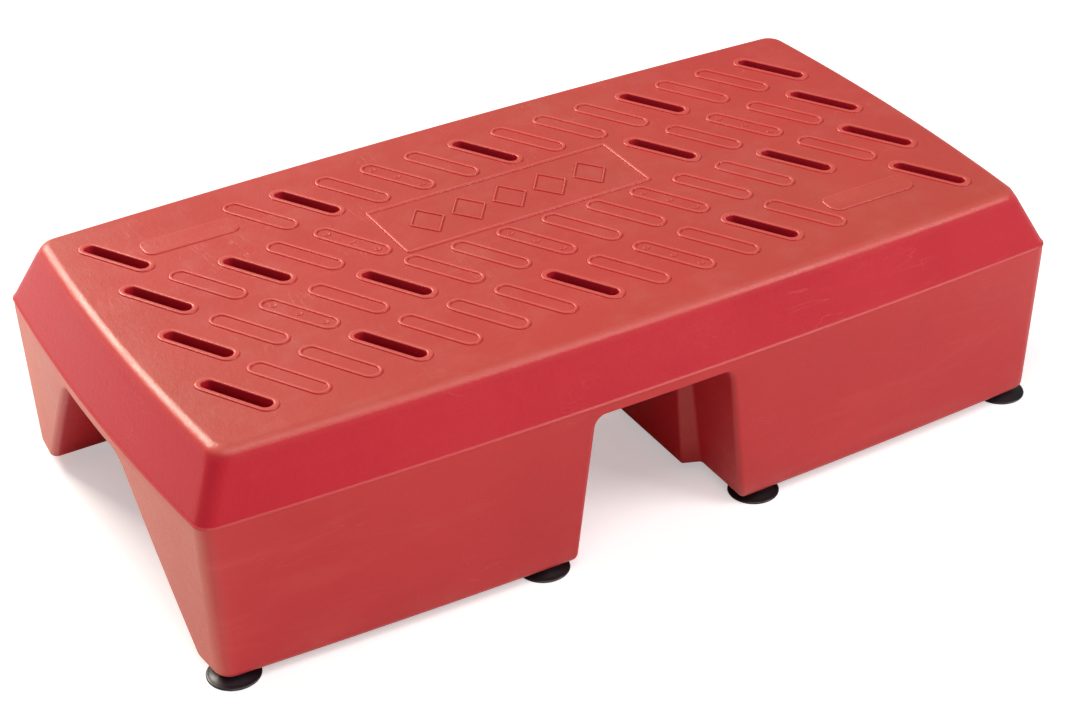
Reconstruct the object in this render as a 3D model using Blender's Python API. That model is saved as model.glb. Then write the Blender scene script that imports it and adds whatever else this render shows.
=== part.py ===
"""Low step block on suction cups: an upper tread moulding nested on a lower two-legged moulding.

Metres, +Z up, floor at z = 0, length along X, the side usually stepped on from along -Y.
"""
import math

import bmesh
import bpy

# Tread pattern: four rows of slanted stadiums on a rectangular lattice
column_count = 16
column_pitch = 0.0365
row_pitch = 0.0673
middle_row_shift = 0.0029
stadium_angle = math.radians(-60.7)
row_gap = 0.00976
ring_radius = 0.0081
ring_width = 0.0029
ring_height = 0.0010
slot_radius = 0.0048
slot_end_margin = 0.0010
sleeve_wall = 0.0020
sleeve_depth = 0.0100
embed = 0.0006

# Plate in the middle of the second row, and the two blank label pads
plate_columns = 6
plate_gap = 0.0190
plate_row_gap = 0.0001
plate_drop = 0.0020
frame_width = 0.0030
motif_count = 5
motif_margin = 0.0146
motif_width = 0.0016
pad_half_width = 0.0105
pad_overhang = 0.0350

# Overall heights
foot_clearance = 0.0065
leg_height = 0.1172
band_height = 0.0065
skirt_height = 0.0448

# Plan sizes at the deck edge and at the seam, the widest line
deck_end_margin = 0.0443
deck_side_margin = 0.0591
end_flare = 0.0230
side_flare = 0.0180
deck_edge_radius = 0.0090
deck_edge_turn = math.radians(65.0)
side_bow = 0.0095
end_bow = 0.0090
deck_side_bow = 0.0070
deck_end_bow = 0.0070
corner_radius = 0.0125
leg_draft = 0.0045

# Moulding walls and the nested seam
wall = 0.0040
seam_gap = 0.0003
lip_wall = 0.0019
lip_height = 0.0060
bead = 0.0005

# Cross tunnel between the legs, with a raised panel down each inner wall
tunnel_half_top = 0.0528
tunnel_half_bottom = 0.0664
panel_step = 0.0135
panel_side_gap = 0.0620
panel_slope = 0.0055
tunnel_edge_radius = 0.0045
panel_radius = 0.0035
ceiling_radius = 0.0100
bottom_radius = 0.0060

# Arch scooped into the outer end of each leg
arch_half_top = 0.0440
wedge_width = 0.0365
arch_depth = 0.1750
arch_end_slope = 0.0120
arch_mouth_radius = 0.0060
arch_inner_radius = 0.0160

# Feet
foot_wall_setback = 0.0145
outer_foot_setback = 0.0220
inner_foot_setback = 0.0200
far_foot_setback = 0.0810
boss_radius = 0.0082
boss_height = 0.0165
insert_radius = 0.0042
insert_waist = 0.0036
insert_length = 0.0120
stud_radius = 0.0025
stud_head_radius = 0.0048
stud_head_height = 0.0012
stud_tip_gap = 0.0010
fit = 0.0003
cup_radius = 0.0184
cup_lip_width = 0.0016
cup_lip_height = 0.0010
cup_neck_radius = 0.0074
cup_hollow_height = 0.0022
least_radius = 0.0012

# Derived sizes: the stadiums fill their row up to the gap, and the plate fills the row it stands in
stadium_half_straight = ((row_pitch - row_gap) / 2 - ring_radius) / abs(math.sin(stadium_angle))
slot_half_straight = stadium_half_straight - slot_end_margin
plate_width = row_pitch - plate_row_gap
motif_half_height = plate_width / 2 - motif_margin
z_leg = foot_clearance
z_ceiling = z_leg + leg_height
z_seam = z_ceiling + band_height
z_deck = z_seam + skirt_height
deck_half_length = (column_count - 1) / 2 * column_pitch + deck_end_margin
deck_half_width = 1.5 * row_pitch + deck_side_margin
rim_half_length = deck_half_length + end_flare
rim_half_width = deck_half_width + side_flare

# One letter per column from -X to +X: o open slot, c closed ring, - a pad or the plate instead
tread_rows = (
    (1.5, 0.0, "o--coccc" + "occcocco"),
    (0.5, middle_row_shift, "ococc---" + "---occco"),
    (-0.5, middle_row_shift, "occcoccc" + "cccccoco"),
    (-1.5, 0.0, "occoccco" + "cccoc--o"),
)


def clear_scene():
    for old in list(bpy.data.objects):
        bpy.data.objects.remove(old, do_unlink=True)
    for name in ("step_block", "step_block_cutters"):
        if name in bpy.data.collections:
            bpy.data.collections.remove(bpy.data.collections[name])


clear_scene()
parts = bpy.data.collections.new("step_block")
cutters = bpy.data.collections.new("step_block_cutters")
bpy.context.scene.collection.children.link(parts)
bpy.context.scene.collection.children.link(cutters)


def plastic(name, colour, roughness, metallic=0.0):
    material = bpy.data.materials.new(name)
    material.use_nodes = True
    shader = material.node_tree.nodes["Principled BSDF"]
    shader.inputs["Base Color"].default_value = (*colour, 1.0)
    shader.inputs["Roughness"].default_value = roughness
    shader.inputs["Metallic"].default_value = metallic
    material.diffuse_color = (*colour, 1.0)
    return material


deck_red = plastic("deck_red_plastic", (0.60, 0.085, 0.070), 0.42)
leg_red = plastic("leg_red_plastic", (0.50, 0.040, 0.050), 0.45)
cup_rubber = plastic("cup_black_rubber", (0.012, 0.012, 0.018), 0.38)
stud_steel = plastic("stud_steel", (0.55, 0.56, 0.58), 0.30, 1.0)
insert_brass = plastic("insert_brass", (0.62, 0.45, 0.18), 0.35, 1.0)


class Skin:
    """Faces given by corner coordinates, with shared corners joined."""

    def __init__(self):
        self.points = []
        self.lookup = {}
        self.faces = []

    def corner(self, point):
        key = tuple(round(value * 1e7) for value in point)
        if key not in self.lookup:
            self.lookup[key] = len(self.points)
            self.points.append(tuple(point))
        return self.lookup[key]

    def face(self, points):
        ring = []
        for point in points:
            index = self.corner(point)
            if not ring or ring[-1] != index:
                ring.append(index)
        if len(ring) > 1 and ring[0] == ring[-1]:
            ring.pop()
        if len(set(ring)) > 2:
            self.faces.append(ring)

    def strip(self, upper, lower, closed=True):
        count = len(upper)
        for k in range(count if closed else count - 1):
            n = (k + 1) % count
            self.face((upper[k], upper[n], lower[n], lower[k]))

    def build(self, name, collection, material=None, smooth_angle=None):
        mesh = bpy.data.meshes.new(name)
        mesh.from_pydata(self.points, [], self.faces)
        work = bmesh.new()
        work.from_mesh(mesh)
        bmesh.ops.triangulate(work, faces=[f for f in work.faces if len(f.verts) > 4])
        bmesh.ops.recalc_face_normals(work, faces=work.faces)
        work.to_mesh(mesh)
        work.free()
        if material:
            mesh.materials.append(material)
        item = bpy.data.objects.new(name, mesh)
        collection.objects.link(item)
        if smooth_angle:
            mesh.shade_smooth()
            mesh.set_sharp_from_angle(angle=smooth_angle)
        return item


def lift(loop, z):
    return [(x, y, z) for x, y in loop]


def lerp(a, b, t):
    return a + (b - a) * t


def round_corner(before, here, after, radius, steps):
    """Points of an arc of the given radius tangent to both sides of a corner."""
    ux, uy = before[0] - here[0], before[1] - here[1]
    vx, vy = after[0] - here[0], after[1] - here[1]
    u_length = math.hypot(ux, uy)
    v_length = math.hypot(vx, vy)
    ux, uy, vx, vy = ux / u_length, uy / u_length, vx / v_length, vy / v_length
    half = math.acos(max(-1.0, min(1.0, ux * vx + uy * vy))) / 2
    reach = radius / math.tan(half)
    mx, my = ux + vx, uy + vy
    m_length = math.hypot(mx, my)
    centre = (here[0] + mx / m_length * radius / math.sin(half),
              here[1] + my / m_length * radius / math.sin(half))
    start = math.atan2(here[1] + uy * reach - centre[1], here[0] + ux * reach - centre[0])
    stop = math.atan2(here[1] + vy * reach - centre[1], here[0] + vx * reach - centre[0])
    sweep = (stop - start + math.pi) % (2 * math.pi) - math.pi
    arc = []
    for k in range(steps + 1):
        angle = start + sweep * k / steps
        arc.append((centre[0] + radius * math.cos(angle), centre[1] + radius * math.sin(angle)))
    return arc


# Plan shapes: both long sides and both ends bow outward a little

def side_line(x, half_length, half_width, bow):
    return half_width - bow * (x / half_length) ** 2


def end_line(y, half_length, half_width, bow):
    return half_length - bow * (y / half_width) ** 2


def corner_point(half_length, half_width, side, end):
    x = half_length - end
    y = side_line(x, half_length, half_width, side)
    return end_line(y, half_length, half_width, end), y


def mirror_x(loop):
    return [(-x, y) for x, y in loop]


def mirror_y(loop):
    return [(x, -y) for x, y in loop]


def around(quarter, end_span, side_span):
    """Whole outline, clockwise from above, out of the piece in the +X +Y quarter."""
    loop = list(quarter)
    loop += end_span
    loop += mirror_y(quarter)[::-1]
    loop += mirror_y(side_span)
    loop += mirror_x(mirror_y(quarter))
    loop += mirror_x(end_span)[::-1]
    loop += mirror_x(quarter)[::-1]
    loop += mirror_x(side_span)
    return loop


def spans(x_start, y_stop, half_length, half_width, side, end):
    """The stretches over the arch mouth and over the tunnel, between two quarters."""
    end_span = []
    side_span = []
    for share in (0.5, 0.0, -0.5):
        y = y_stop * share
        end_span.append((end_line(y, half_length, half_width, end), y))
        x = x_start * share
        side_span.append((x, side_line(x, half_length, half_width, side)))
    return end_span, side_span


def leg_groups(z, inset, open_inset):
    """Corner arcs of the +Y half of the +X leg at one height.

    inset moves the outer walls inward; open_inset moves the tunnel and arch walls into the leg.
    """
    down = max(0.0, min(1.0, (z_ceiling - z) / leg_height))
    half_length = rim_half_length - leg_draft * down - inset
    half_width = rim_half_width - leg_draft * down - inset
    tunnel = lerp(tunnel_half_top, tunnel_half_bottom, down) + open_inset
    panel = tunnel - lerp(panel_step / 2, panel_step, down)
    panel_side = rim_half_width - panel_side_gap - open_inset
    arch_bottom = rim_half_width - side_bow - wedge_width
    arch_half = lerp(arch_half_top, arch_bottom, down) + open_inset
    arch_end = rim_half_length - arch_depth + arch_end_slope * (1 - down) - open_inset
    xc, yc = corner_point(half_length, half_width, side_bow, end_bow)
    eased = max(open_inset, 0.0)
    vertices = [
        (panel, 0.0, 0.0),
        (panel, panel_side, max(least_radius, panel_radius - eased)),
        (tunnel, panel_side + panel_slope, panel_radius),
        (tunnel, side_line(tunnel, half_length, half_width, side_bow),
         max(least_radius, tunnel_edge_radius - eased)),
    ]
    for share in (0.35, 0.70):
        x = lerp(tunnel, xc, share)
        vertices.append((x, side_line(x, half_length, half_width, side_bow), 0.0))
    vertices += [
        (xc, yc, max(least_radius, corner_radius - inset)),
        (end_line(arch_half, half_length, half_width, end_bow), arch_half,
         max(least_radius, arch_mouth_radius - eased)),
        (arch_end, arch_half, arch_inner_radius),
        (arch_end, 0.0, 0.0),
    ]
    steps = {1: 2, 2: 2, 3: 2, 6: 4, 7: 2, 8: 3}
    groups = []
    for k, (x, y, radius) in enumerate(vertices):
        if radius == 0.0:
            groups.append([(x, y)])
        else:
            groups.append(round_corner(vertices[k - 1], (x, y), vertices[k + 1], radius, steps[k]))
    return groups


def leg_loop(z, inset, open_inset):
    """Closed outline of the whole +X leg at one height."""
    half = []
    for group in leg_groups(z, inset, open_inset):
        half += group
    return half + mirror_y(half)[::-1][1:-1]


def band_loop(groups, inset):
    """Outline of the band over the legs, with its corners where the leg outlines leave it."""
    quarter = [groups[3][-1], *groups[4], *groups[5], *groups[6], groups[7][0]]
    half_length = rim_half_length - inset
    half_width = rim_half_width - inset
    end_span, side_span = spans(quarter[0][0], quarter[-1][1], half_length, half_width, side_bow, end_bow)
    return around(quarter, end_span, side_span), end_span, side_span


def outline(half_length, half_width, side, end, radius):
    """Outline of the upper moulding or of the nested lip, with as many corners as the band."""
    x_start = tunnel_half_top
    y_stop = arch_half_top
    xc, yc = corner_point(half_length, half_width, side, end)
    quarter = []
    for share in (0.0, 0.35, 0.70):
        x = lerp(x_start, xc, share)
        quarter.append((x, side_line(x, half_length, half_width, side)))
    mouth = (end_line(y_stop, half_length, half_width, end), y_stop)
    quarter += round_corner(quarter[-1], (xc, yc), mouth, max(least_radius, radius), 4)
    quarter.append(mouth)
    end_span, side_span = spans(x_start, y_stop, half_length, half_width, side, end)
    return around(quarter, end_span, side_span)


def skirt_loop(height, inset):
    """Outline on the sloping skirt, height metres over the seam, moved inward by inset."""
    share = height / skirt_height
    return outline(
        rim_half_length - end_flare * share - inset,
        rim_half_width - side_flare * share - inset,
        lerp(side_bow, deck_side_bow, share),
        lerp(end_bow, deck_end_bow, share),
        corner_radius - inset,
    )


def stadium(cx, cy, half_straight, radius, steps=4):
    """Rounded slot outline, slanted like the tread pattern."""
    loop = []
    for end in (1, -1):
        for k in range(steps + 1):
            turn = math.pi * (k / steps - 0.5)
            along = end * (half_straight + radius * math.cos(turn))
            across = end * radius * math.sin(turn)
            x = cx + along * math.cos(stadium_angle) - across * math.sin(stadium_angle)
            y = cy + along * math.sin(stadium_angle) + across * math.cos(stadium_angle)
            loop.append((x, y))
    return loop


def box_loop(cx, cy, half_x, half_y, radius, steps=3):
    corners = [(cx + half_x, cy + half_y), (cx + half_x, cy - half_y),
               (cx - half_x, cy - half_y), (cx - half_x, cy + half_y)]
    loop = []
    for k in range(4):
        loop += round_corner(corners[k - 1], corners[k], corners[(k + 1) % 4], radius, steps)
    return loop


def ridge(skin, outer_foot, outer_top, inner_top, inner_foot):
    """Raised bead standing on the deck, its foot sunk a little into the deck skin."""
    foot = z_deck - embed
    top = z_deck + ring_height
    skin.strip(lift(outer_foot, foot), lift(outer_top, top))
    skin.strip(lift(outer_top, top), lift(inner_top, top))
    skin.strip(lift(inner_top, top), lift(inner_foot, foot))
    skin.strip(lift(inner_foot, foot), lift(outer_foot, foot))


def prism(skin, loop, low, high, upper_loop=None):
    upper = upper_loop or loop
    skin.strip(lift(upper, high), lift(loop, low))
    skin.face(lift(upper, high))
    skin.face(lift(loop, low))


def join(target, tool, operation):
    """Bake one Boolean of the tool into the target's mesh."""
    modifier = target.modifiers.new(operation, "BOOLEAN")
    modifier.operation = operation
    modifier.solver = "EXACT"
    modifier.object = tool
    graph = bpy.context.evaluated_depsgraph_get()
    mesh = bpy.data.meshes.new_from_object(target.evaluated_get(graph))
    target.modifiers.clear()
    old = target.data
    target.data = mesh
    mesh.name = target.name
    bpy.data.meshes.remove(old)
    tool.hide_render = True
    tool.display_type = "WIRE"


def turned(name, profile, steps, material, x, y):
    """Solid of revolution about the vertical through (x, y)."""
    skin = Skin()
    rings = []
    for radius, z in profile:
        ring = []
        for k in range(steps):
            angle = 2 * math.pi * (k + 0.5) / steps
            ring.append((radius * math.cos(angle), radius * math.sin(angle), z))
        rings.append(ring)
    closed = profile[0][0] > 0
    count = len(rings)
    for k in range(count if closed else count - 1):
        skin.strip(rings[k], rings[(k + 1) % count])
    item = skin.build(name, parts if material else cutters, material, math.radians(40.0))
    item.location = (x, y, 0.0)
    return item


# Tread positions

def column_x(column, shift):
    return (column - (column_count - 1) / 2) * column_pitch + shift


open_slots = []
closed_rings = []
for row, shift, letters in tread_rows:
    for column, letter in enumerate(letters):
        place = (column_x(column, shift), row * row_pitch)
        if letter == "o":
            open_slots.append(place)
        elif letter == "c":
            closed_rings.append(place)

# Upper moulding: skin and cavity as one shell, open at the seam

deck = Skin()
turn = deck_edge_turn
tangent = deck_edge_radius * math.tan(turn / 2)
outer = [
    (z_seam + seam_gap / 2, skirt_loop(0.0, -bead)),
    (z_seam + 0.0012, skirt_loop(0.0012, -bead)),
    (z_seam + 0.0017, skirt_loop(0.0017, 0.0)),
]
for k in range(3, -1, -1):
    angle = turn * k / 3
    outward = deck_edge_radius * math.sin(angle) - tangent
    z = z_deck - deck_edge_radius * (1 - math.cos(angle))
    loop = outline(deck_half_length + outward, deck_half_width + outward, deck_side_bow, deck_end_bow,
                   corner_radius + outward)
    outer.append((z, loop))
inner = [
    (z_seam + seam_gap / 2, skirt_loop(0.0, lip_wall)),
    (z_seam + lip_height + seam_gap, skirt_loop(lip_height, lip_wall)),
    (z_seam + lip_height + seam_gap, skirt_loop(lip_height, wall)),
    (z_deck - wall - 0.004, skirt_loop(skirt_height - wall - 0.004, wall)),
    (z_deck - wall, outline(deck_half_length - tangent - 0.0015, deck_half_width - tangent - 0.0015,
                            deck_side_bow, deck_end_bow, corner_radius - wall)),
]
for lower, upper in zip(outer, outer[1:]):
    deck.strip(lift(upper[1], upper[0]), lift(lower[1], lower[0]))
for lower, upper in zip(inner, inner[1:]):
    deck.strip(lift(upper[1], upper[0]), lift(lower[1], lower[0]))
deck.strip(lift(outer[0][1], outer[0][0]), lift(inner[0][1], inner[0][0]))
deck.face(lift(outer[-1][1], outer[-1][0]))
deck.face(lift(inner[-1][1], inner[-1][0]))
deck_shell = deck.build("deck_shell", parts, deck_red)

# Everything that stands on the deck or hangs from it

raised = Skin()
for cx, cy in closed_rings:
    ridge(
        raised,
        stadium(cx, cy, stadium_half_straight, ring_radius + 0.0003),
        stadium(cx, cy, stadium_half_straight, ring_radius - 0.0006),
        stadium(cx, cy, stadium_half_straight, ring_radius - ring_width + 0.0006),
        stadium(cx, cy, stadium_half_straight, ring_radius - ring_width - 0.0003),
    )
for cx, cy in open_slots:
    ridge(
        raised,
        stadium(cx, cy, stadium_half_straight, ring_radius + 0.0003),
        stadium(cx, cy, stadium_half_straight, ring_radius - 0.0006),
        stadium(cx, cy, slot_half_straight, slot_radius + 0.0006),
        stadium(cx, cy, slot_half_straight, slot_radius - 0.0006),
    )
    prism(raised, stadium(cx, cy, slot_half_straight, slot_radius + sleeve_wall),
          z_deck - wall - sleeve_depth, z_deck - wall / 2)

plate_half = (plate_columns * column_pitch - plate_gap) / 2
plate_y = row_pitch / 2 - plate_drop
plate_half_width = plate_width / 2
ridge(
    raised,
    box_loop(0, plate_y, plate_half + 0.0003, plate_half_width + 0.0003, 0.0026),
    box_loop(0, plate_y, plate_half - 0.0006, plate_half_width - 0.0006, 0.0020),
    box_loop(0, plate_y, plate_half - frame_width + 0.0006, plate_half_width - frame_width + 0.0006, 0.0016),
    box_loop(0, plate_y, plate_half - frame_width - 0.0003, plate_half_width - frame_width - 0.0003, 0.0010),
)
motif_pitch = 2 * plate_half / (motif_count + 1)


def lozenge(cx, cy, half_x, half_y):
    return [(cx + half_x, cy), (cx, cy - half_y), (cx - half_x, cy), (cx, cy + half_y)]


for k in range(motif_count):
    cx = (k - (motif_count - 1) / 2) * motif_pitch
    half_x = motif_pitch * 0.42
    shapes = []
    for step in (-0.0003, 0.0004, motif_width - 0.0004, motif_width + 0.0003):
        shapes.append(lozenge(cx, plate_y, half_x - step, motif_half_height - step * 1.2))
    ridge(raised, *shapes)

for end in (-1, 1):
    cx = column_x(1.5 if end < 0 else column_count - 2.5, 0.0)
    cy = -end * 1.5 * row_pitch
    pad_half = column_pitch / 2 + pad_overhang / 2
    prism(
        raised,
        box_loop(cx, cy, pad_half + 0.0003, pad_half_width + 0.0003, 0.0070),
        z_deck - embed,
        z_deck + ring_height,
        box_loop(cx, cy, pad_half - 0.0006, pad_half_width - 0.0006, 0.0062),
    )

raised_item = raised.build("deck_raised", cutters)
join(deck_shell, raised_item, "UNION")

openings = Skin()
for cx, cy in open_slots:
    prism(openings, stadium(cx, cy, slot_half_straight, slot_radius),
          z_deck - wall - sleeve_depth - 0.005, z_deck + 0.005)
opening_item = openings.build("deck_openings", cutters)
join(deck_shell, opening_item, "DIFFERENCE")

# Lower moulding: outer skin and cavity meet in the lip that nests inside the skirt

legs = Skin()


def leg_levels(depth):
    """Heights and insets of the leg outlines, depth metres in from the outer skin."""
    levels = []
    for k in range(4):
        angle = math.pi / 2 * k / 3
        reach = ceiling_radius + depth
        levels.append((z_ceiling - ceiling_radius + reach * math.cos(angle), depth,
                       reach * math.sin(angle) - ceiling_radius))
    for k in range(3):
        angle = math.pi / 2 * k / 2
        reach = bottom_radius - depth
        inset = bottom_radius - reach * math.cos(angle)
        levels.append((z_leg + bottom_radius - reach * math.sin(angle), inset, inset))
    return levels


def lower_skin(depth, top):
    """One face of the lower moulding, from its band down over both legs; returns the top loop."""
    levels = leg_levels(depth)
    loops = [lift(leg_loop(*level), level[0]) for level in levels]
    for side in (1, -1):
        placed = [[(side * x, y, z) for x, y, z in loop] for loop in loops]
        for upper, lower in zip(placed, placed[1:]):
            legs.strip(upper, lower)
        legs.face(placed[-1])
    z, inset, open_inset = levels[0]
    groups = leg_groups(z, inset, open_inset)
    band, end_span, side_span = band_loop(groups, depth)
    legs.strip(lift(band, top), lift(band, z))
    inner_wall = [groups[0][0], *groups[1], *groups[2], *groups[3]]
    tunnel_side = inner_wall[::-1] + mirror_y(inner_wall)[1:]
    ceiling = tunnel_side + mirror_y(side_span)
    ceiling += mirror_x(tunnel_side)[::-1] + mirror_x(side_span)
    legs.face(lift(ceiling, z))
    scoop = [*groups[7], *groups[8], groups[9][0]]
    arch = scoop + mirror_y(scoop)[::-1][1:] + end_span[::-1]
    legs.face(lift(arch, z))
    legs.face(lift(mirror_x(arch), z))
    return band


outer_band = lower_skin(0.0, z_seam - seam_gap / 2)
inner_band = lower_skin(wall, z_seam - seam_gap / 2)
lip_out = lip_wall + fit + 0.0001
rim = [
    lift(outer_band, z_seam - seam_gap / 2),
    lift(skirt_loop(0.0, lip_out), z_seam - seam_gap / 2),
    lift(skirt_loop(lip_height, lip_out), z_seam + lip_height),
    lift(skirt_loop(lip_height, wall), z_seam + lip_height),
    lift(inner_band, z_seam - seam_gap / 2),
]
for first, second in zip(rim, rim[1:]):
    legs.strip(first, second)
leg_shell = legs.build("leg_shell", parts, leg_red)

# Feet: a rubber cup on a steel stud, turned into a brass insert moulded into the leg bottom

bottom_half_length = rim_half_length - leg_draft
bottom_half_width = rim_half_width - leg_draft
inner_foot_x = tunnel_half_bottom + inner_foot_setback
outer_foot_x = bottom_half_length - outer_foot_setback
far_foot_x = bottom_half_length - far_foot_setback


def foot_y(x):
    return side_line(x, bottom_half_length, bottom_half_width, side_bow) - foot_wall_setback


feet = {}
for side, word in ((-1, "left"), (1, "right")):
    feet["near_" + word + "_outer"] = (side * outer_foot_x, -foot_y(outer_foot_x))
    feet["near_" + word + "_inner"] = (side * inner_foot_x, -foot_y(inner_foot_x))
    feet["far_" + word + "_outer"] = (side * far_foot_x, foot_y(far_foot_x))
    feet["far_" + word + "_inner"] = (side * inner_foot_x, foot_y(inner_foot_x))

bosses = Skin()
for x, y in feet.values():
    circle = []
    for k in range(12):
        angle = 2 * math.pi * (k + 0.5) / 12
        circle.append((x + boss_radius * math.cos(angle), y + boss_radius * math.sin(angle)))
    prism(bosses, circle, z_leg + wall / 2, z_leg + boss_height)
boss_item = bosses.build("leg_bosses", cutters)
join(leg_shell, boss_item, "UNION")

neck_z = z_leg - fit
head_z = neck_z - 0.0011 - fit - stud_head_height
cup_profile = [
    (0.0, head_z - fit),
    (stud_head_radius + fit, head_z - fit),
    (stud_head_radius + fit, head_z + stud_head_height + fit),
    (stud_radius + fit, head_z + stud_head_height + fit),
    (stud_radius + fit, neck_z),
    (cup_neck_radius, neck_z),
    (cup_neck_radius + 0.0006, neck_z - 0.0018),
    (lerp(cup_neck_radius, cup_radius, 0.30), lerp(cup_lip_height, neck_z, 0.42)),
    (lerp(cup_neck_radius, cup_radius, 0.66), lerp(cup_lip_height, neck_z, 0.20)),
    (cup_radius, cup_lip_height),
    (cup_radius, 0.0),
    (cup_radius - cup_lip_width, 0.0),
    (cup_radius * 0.62, cup_hollow_height * 0.55),
    (0.0, cup_hollow_height),
]
stud_profile = [
    (0.0, head_z),
    (stud_head_radius, head_z),
    (stud_head_radius, head_z + stud_head_height),
    (stud_radius, head_z + stud_head_height),
    (stud_radius, z_leg + insert_length - stud_tip_gap - 0.0008),
    (stud_radius - 0.0008, z_leg + insert_length - stud_tip_gap),
    (0.0, z_leg + insert_length - stud_tip_gap),
]
waist_low = z_leg + insert_length * 0.25
waist_high = z_leg + insert_length * 0.58
waist_step = insert_radius - insert_waist
insert_profile = [
    (insert_radius, z_leg),
    (insert_radius, waist_low),
    (insert_waist, waist_low + waist_step),
    (insert_waist, waist_high - waist_step),
    (insert_radius, waist_high),
    (insert_radius, z_leg + insert_length),
    (stud_radius + fit, z_leg + insert_length),
    (stud_radius + fit, z_leg),
]
slack = fit * (math.sqrt(2) - 1)
bore_profile = [
    (0.0, z_leg - 0.002),
    (insert_radius + fit, z_leg - 0.002),
    (insert_radius + fit, waist_low + slack),
    (insert_waist + fit, waist_low + waist_step + slack),
    (insert_waist + fit, waist_high - waist_step - slack),
    (insert_radius + fit, waist_high - slack),
    (insert_radius + fit, z_leg + insert_length + fit),
    (0.0, z_leg + insert_length + fit),
]
for name, (x, y) in feet.items():
    bore = turned("bore_" + name, bore_profile, 10, None, x, y)
    bpy.context.view_layer.update()
    join(leg_shell, bore, "DIFFERENCE")
    turned("threaded_insert_" + name, insert_profile, 10, insert_brass, x, y)
    turned("foot_stud_" + name, stud_profile, 10, stud_steel, x, y)
    turned("suction_cup_" + name, cup_profile, 14, cup_rubber, x, y)

for shell in (deck_shell, leg_shell):
    shell.data.shade_smooth()
    shell.data.set_sharp_from_angle(angle=math.radians(28.0))
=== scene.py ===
import math

import bmesh
import bpy
import numpy as np
from mathutils import Matrix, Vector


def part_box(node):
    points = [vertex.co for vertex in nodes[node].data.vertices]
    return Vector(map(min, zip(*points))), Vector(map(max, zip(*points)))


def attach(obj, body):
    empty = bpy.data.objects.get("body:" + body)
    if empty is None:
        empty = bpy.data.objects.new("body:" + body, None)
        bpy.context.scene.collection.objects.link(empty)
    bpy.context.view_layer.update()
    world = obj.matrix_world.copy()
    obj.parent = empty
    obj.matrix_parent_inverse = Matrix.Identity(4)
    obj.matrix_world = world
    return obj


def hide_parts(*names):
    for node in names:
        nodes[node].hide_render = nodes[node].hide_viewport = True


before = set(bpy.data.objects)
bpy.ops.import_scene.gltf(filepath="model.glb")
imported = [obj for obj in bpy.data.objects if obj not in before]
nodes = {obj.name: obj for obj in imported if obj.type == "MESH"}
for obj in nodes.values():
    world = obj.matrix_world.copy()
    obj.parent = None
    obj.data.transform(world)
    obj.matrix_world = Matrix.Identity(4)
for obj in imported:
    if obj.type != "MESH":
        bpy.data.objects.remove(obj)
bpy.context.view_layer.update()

deckLow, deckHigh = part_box("deck_shell")
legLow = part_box("leg_shell")[0]
footNames = sorted(name[len("suction_cup_"):] for name in nodes if name.startswith("suction_cup_"))
print("packed frame loaded with", len(nodes), "parts")

# Overall sizes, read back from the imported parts
gap = 0.0003  # between pieces that fit together
bead = 0.0005  # how far the flash stands out at the seam
ringHeight = 0.0010
bandHeight = 0.0065  # from the seam down to the tunnel ceiling
leastRadius = 0.0012  # no plan corner is sharper
sharpAngle = 35.0
block = dict(
    deck=deckHigh.z - ringHeight,
    seam=deckLow.z - gap / 2,
    ceiling=deckLow.z - gap / 2 - bandHeight,
    legBottom=legLow.z,
    rimX=deckHigh.x - bead,
    rimY=deckHigh.y - bead,
    flareX=0.0230,
    flareY=0.0180,
    sideBow=0.0095,
    endBow=0.0090,
    deckSideBow=0.0070,
    deckEndBow=0.0070,
    corner=0.0125,
    wall=0.0040,
    draft=0.0045,
)
block["skirt"] = block["deck"] - block["seam"]
block["leg"] = block["ceiling"] - block["legBottom"]


# Corner numbers of every cell of a grid, wrapped round where asked
def gridFaces(rows, columns, wrapRows=False, wrapColumns=False, flip=False):
    row, column = np.meshgrid(
        np.arange(rows if wrapRows else rows - 1),
        np.arange(columns if wrapColumns else columns - 1),
        indexing="ij",
    )
    nextRow = (row + 1) % rows
    nextColumn = (column + 1) % columns
    cells = np.stack([
        row * columns + column,
        row * columns + nextColumn,
        nextRow * columns + nextColumn,
        nextRow * columns + column,
    ], -1).reshape(-1, 4)
    return cells[:, ::-1] if flip else cells


# Gathers corner and face arrays, then writes them into one mesh. rub is how much hands and boots polish there
class Surface:
    def __init__(self):
        self.corners = []
        self.rub = []
        self.faces = []
        self.count = 0

    def add(self, corners, faces, rub=0.0):
        corners = np.asarray(corners, float).reshape(-1, 3)
        self.corners.append(corners)
        self.rub.append(np.broadcast_to(np.asarray(rub, float).ravel(), (len(corners),)))
        self.faces += (np.asarray(faces) + self.count).tolist()
        self.count += len(corners)

    # the same small sheet at many places: corners is places x points x 3
    def addMany(self, corners, faces, rub=0.0):
        places, points = corners.shape[:2]
        shifted = (np.arange(places)[:, None, None] * points + faces[None]).reshape(-1, faces.shape[1])
        rub = np.broadcast_to(np.asarray(rub, float), (places, points)).ravel()
        self.add(corners.reshape(-1, 3), shifted, rub)

    def piece(self, name, material, sharp=sharpAngle):
        mesh = bpy.data.meshes.new(name)
        mesh.from_pydata(np.concatenate(self.corners).tolist(), [], self.faces)
        attribute = mesh.attributes.new("rubbed", "FLOAT", "POINT")
        attribute.data.foreach_set("value", np.concatenate(self.rub).astype(np.float32))
        work = bmesh.new()
        work.from_mesh(mesh)
        bmesh.ops.remove_doubles(work, verts=work.verts, dist=2e-6)
        bmesh.ops.recalc_face_normals(work, faces=work.faces)
        work.to_mesh(mesh)
        work.free()
        if material:
            mesh.materials.append(material)
        mesh.shade_smooth()
        mesh.set_sharp_from_angle(angle=math.radians(sharp))
        item = bpy.data.objects.new(name, mesh)
        bpy.context.scene.collection.objects.link(item)
        return item


# Straight blend: a plus share of the way to b
def mix(a, b, share):
    return a + (b - a) * share


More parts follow.
